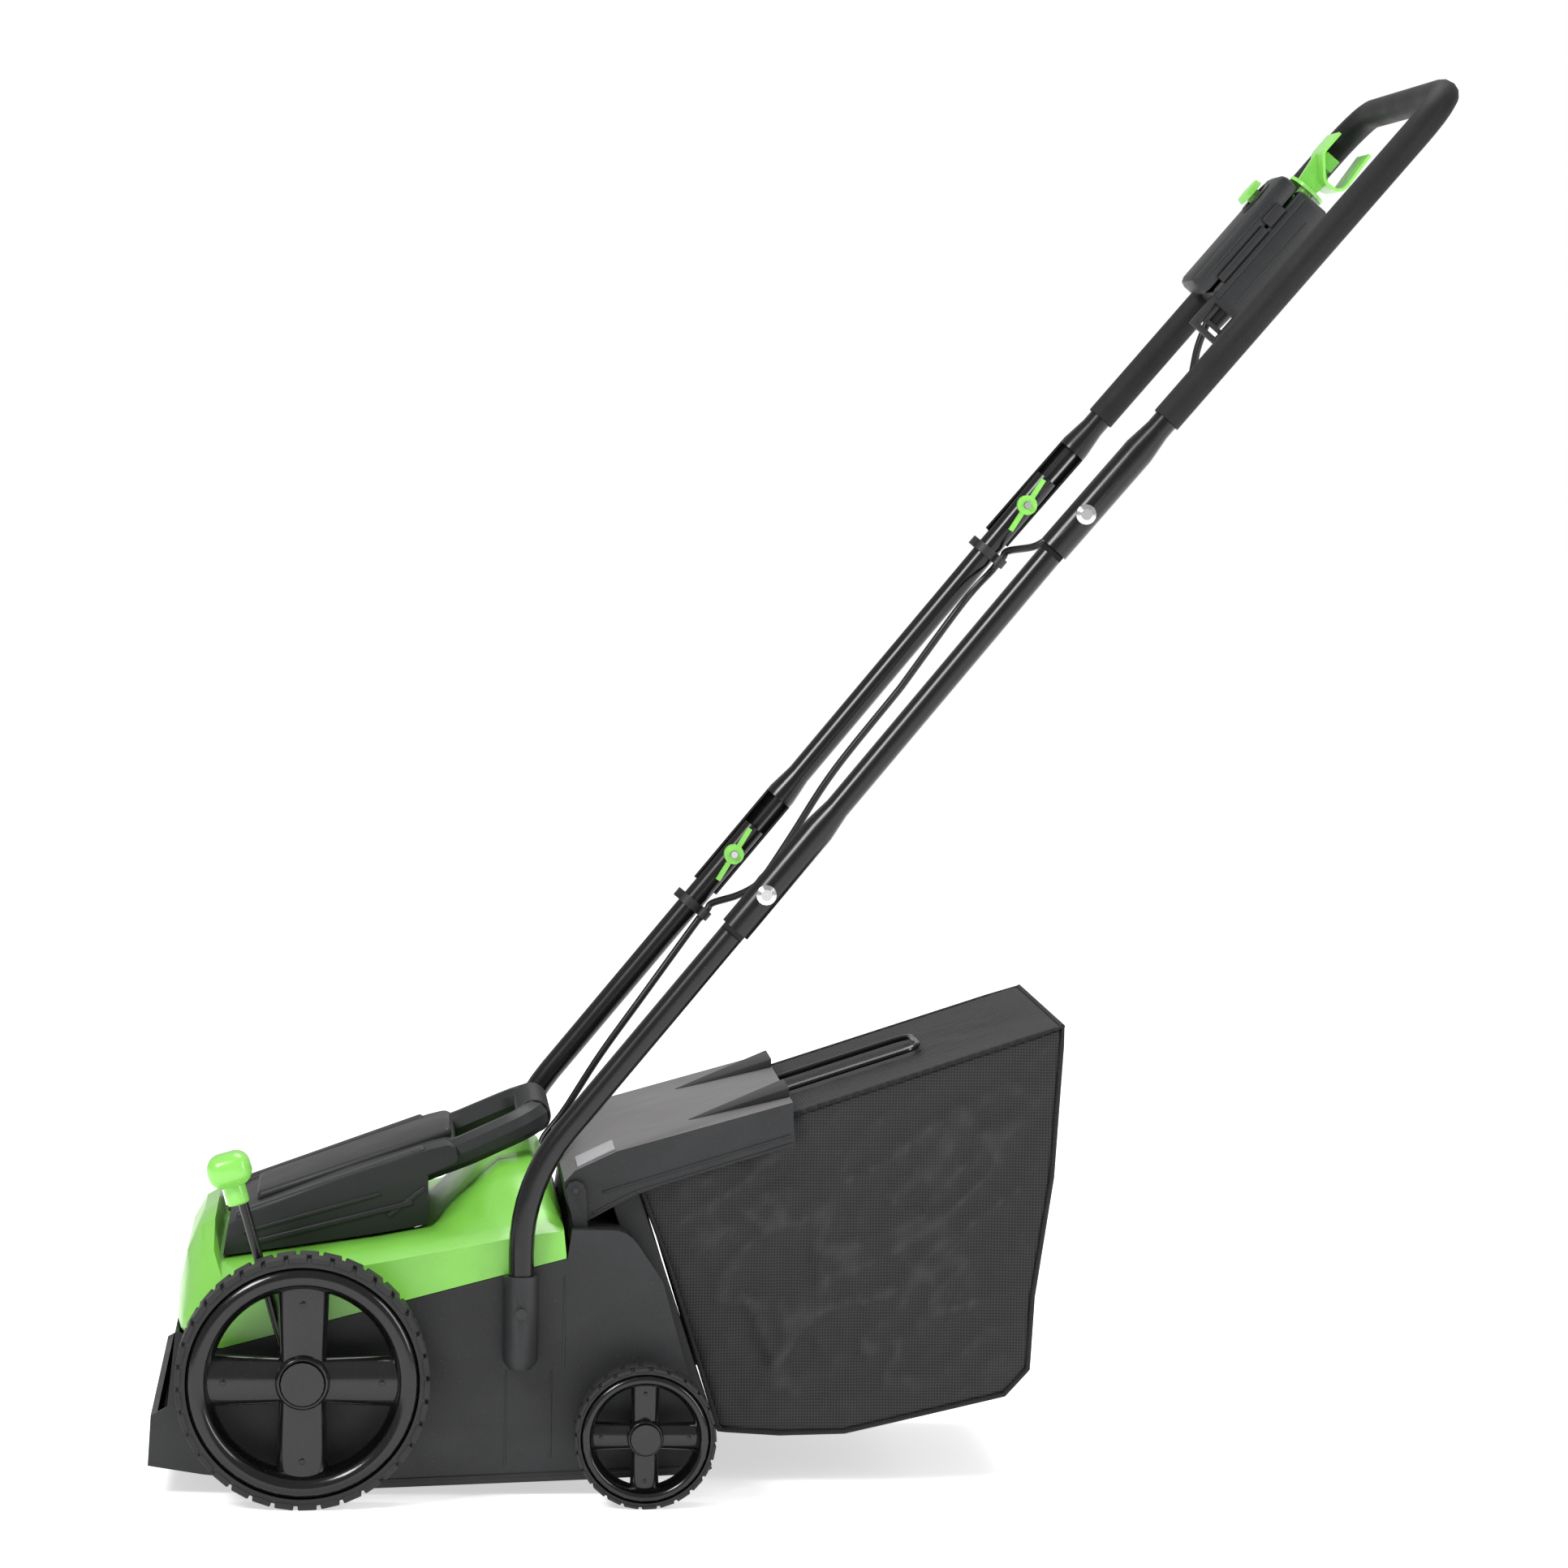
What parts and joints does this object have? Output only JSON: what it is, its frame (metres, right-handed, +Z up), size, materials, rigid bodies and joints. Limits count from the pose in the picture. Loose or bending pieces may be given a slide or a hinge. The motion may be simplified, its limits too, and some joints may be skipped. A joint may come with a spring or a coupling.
{
  "type": "lawn dethatcher",
  "caption": "Electric walk-behind lawn dethatcher with folding tube handle, depth lever, sprung rear flap and fabric collection bag.",
  "frame": {"origin": "on the ground, at the middle of the machine's bounding box", "axes": "+Z up; +X from the front wheels towards the operator's handle; +Y to the operator's left as they push towards -X"},
  "size_m": [1.0286, 0.499, 1.1347],
  "materials": {
    "green_plastic": "satin moulded plastic, lime green",
    "black_plastic": "fine-textured black moulded plastic",
    "gloss_plastic": "polished black plastic",
    "tread": "black lugged tread",
    "painted_tube": "gloss black powder-coated steel tube",
    "foam": "closed-cell foam sleeve, matte black",
    "plated_steel": "bright zinc-plated steel",
    "bare_steel": "plain steel",
    "belt_rubber": "toothed rubber belt",
    "cable": "smooth black rubber sheath",
    "bag_fabric": "black woven mesh fabric"
  },
  "bodies": {
    "deck": {"deck_housing": "black_plastic", "top_cover": "green_plastic", "motor_cover": "black_plastic", "flap_hinge_pin": "plated_steel", "flap_spring": "plated_steel", "motor_can": "bare_steel", "drive_belt": "belt_rubber", "reel_bearing_left": "bare_steel", "reel_bearing_right": "bare_steel", "rear_axle": "bare_steel", "lower_tube_left": "painted_tube", "lower_tube_right": "painted_tube", "socket_screw_left": "plated_steel", "socket_screw_right": "plated_steel", "motor_lead_lower": "cable", "cable_clip_lower": "black_plastic"},
    "front_crank": {"crank_axle": "bare_steel", "depth_lever_rod": "painted_tube", "depth_lever_knob": "green_plastic"},
    "front_wheel_left": {"front_wheel_left": "gloss_plastic", "front_tread_left": "tread", "front_hubcap_left": "gloss_plastic"},
    "front_wheel_right": {"front_wheel_right": "gloss_plastic", "front_tread_right": "tread", "front_hubcap_right": "gloss_plastic"},
    "rear_wheel_left": {"rear_wheel_left": "gloss_plastic", "rear_tread_left": "tread", "rear_hubcap_left": "gloss_plastic"},
    "rear_wheel_right": {"rear_wheel_right": "gloss_plastic", "rear_tread_right": "tread", "rear_hubcap_right": "gloss_plastic"},
    "reel": {"blade_reel": "bare_steel", "reel_shaft": "bare_steel", "reel_pulley": "black_plastic"},
    "motor_rotor": {"motor_shaft": "bare_steel"},
    "flap": {"rear_flap": "black_plastic"},
    "bag": {"collection_bag": "bag_fabric", "bag_frame": "painted_tube"},
    "handle_middle": {"mid_tube_left": "painted_tube", "mid_tube_right": "painted_tube", "lower_bolt_left": "plated_steel", "lower_bolt_right": "plated_steel", "motor_lead_middle": "cable", "cable_clip_upper": "black_plastic"},
    "handle_upper": {"upper_handle": "painted_tube", "foam_grip": "foam", "upper_bolt_left": "plated_steel", "upper_bolt_right": "plated_steel", "switch_box_front": "black_plastic", "switch_box_back": "black_plastic", "switch_clamp": "black_plastic", "mains_inlet": "black_plastic", "motor_lead_upper": "cable", "lead_sleeve": "cable"},
    "lower_wing_nut_left": {"lower_wing_nut_left": "green_plastic"},
    "lower_wing_nut_right": {"lower_wing_nut_right": "green_plastic"},
    "upper_wing_nut_left": {"upper_wing_nut_left": "green_plastic"},
    "upper_wing_nut_right": {"upper_wing_nut_right": "green_plastic"},
    "lock_button": {"lock_button": "green_plastic"},
    "switch_bar": {"switch_bar": "green_plastic"}
  },
  "joints": [
    {"name": "depth_lever", "type": "hinge", "parent": "deck", "child": "front_crank", "pos_m": [-0.40428, 0, 0.107], "axis": [0, 1, 0], "range_deg": [-15, 35]},
    {"name": "front_wheel_left_spin", "type": "hinge", "parent": "front_crank", "child": "front_wheel_left", "pos_m": [-0.39228, 0.208, 0.1], "axis": [0, 1, 0], "continuous": true},
    {"name": "front_wheel_right_spin", "type": "hinge", "parent": "front_crank", "child": "front_wheel_right", "pos_m": [-0.39228, -0.208, 0.1], "axis": [0, 1, 0], "continuous": true},
    {"name": "rear_wheel_left_spin", "type": "hinge", "parent": "deck", "child": "rear_wheel_left", "pos_m": [-0.12328, 0.208, 0.056], "axis": [0, 1, 0], "continuous": true},
    {"name": "rear_wheel_right_spin", "type": "hinge", "parent": "deck", "child": "rear_wheel_right", "pos_m": [-0.12328, -0.208, 0.056], "axis": [0, 1, 0], "continuous": true},
    {"name": "reel_spin", "type": "hinge", "parent": "deck", "child": "reel", "pos_m": [-0.25728, 0, 0.066], "axis": [0, 1, 0], "continuous": true},
    {"name": "motor_spin", "type": "hinge", "parent": "deck", "child": "motor_rotor", "pos_m": [-0.37728, 0, 0.165], "axis": [0, 1, 0], "continuous": true},
    {"name": "flap_hinge", "type": "hinge", "parent": "deck", "child": "flap", "pos_m": [-0.17778, 0, 0.242], "axis": [0, -1, 0], "range_deg": [0, 60], "stiffness_Nm_per_rad": 0.2, "springref_deg": -20.05},
    {"name": "bag_slide", "type": "slide", "parent": "deck", "child": "bag", "axis": [0.9563, 0, 0.2924], "range_m": [0, 0.18]},
    {"name": "handle_fold_lower", "type": "hinge", "parent": "deck", "child": "handle_middle", "pos_m": [-0.03228, 0, 0.483], "axis": [0, 1, 0], "range_deg": [-145, 0]},
    {"name": "handle_fold_upper", "type": "hinge", "parent": "handle_middle", "child": "handle_upper", "pos_m": [0.21537, 0, 0.78557], "axis": [0, -1, 0], "range_deg": [0, 145]},
    {"name": "lower_wing_nut_left_turn", "type": "hinge", "parent": "handle_middle", "child": "lower_wing_nut_left", "pos_m": [-0.03228, 0.1985, 0.483], "axis": [0, 1, 0], "continuous": true},
    {"name": "lower_wing_nut_right_turn", "type": "hinge", "parent": "handle_middle", "child": "lower_wing_nut_right", "pos_m": [-0.03228, -0.1985, 0.483], "axis": [0, 1, 0], "continuous": true},
    {"name": "upper_wing_nut_left_turn", "type": "hinge", "parent": "handle_upper", "child": "upper_wing_nut_left", "pos_m": [0.21537, 0.1985, 0.78557], "axis": [0, 1, 0], "continuous": true},
    {"name": "upper_wing_nut_right_turn", "type": "hinge", "parent": "handle_upper", "child": "upper_wing_nut_right", "pos_m": [0.21537, -0.1985, 0.78557], "axis": [0, 1, 0], "continuous": true},
    {"name": "lock_button_press", "type": "slide", "parent": "handle_upper", "child": "lock_button", "axis": [0.7615, 0, -0.6481], "range_m": [0, 0.004], "stiffness_N_per_m": 400, "springref_m": -0.002},
    {"name": "switch_bar_pull", "type": "slide", "parent": "handle_upper", "child": "switch_bar", "axis": [0.6481, 0, 0.7615], "range_m": [0, 0.008], "stiffness_N_per_m": 900, "springref_m": -0.003}
  ],
  "couplings": [
    {"joint": "motor_spin", "follows": "reel_spin", "ratio": 3.0909}
  ]
}
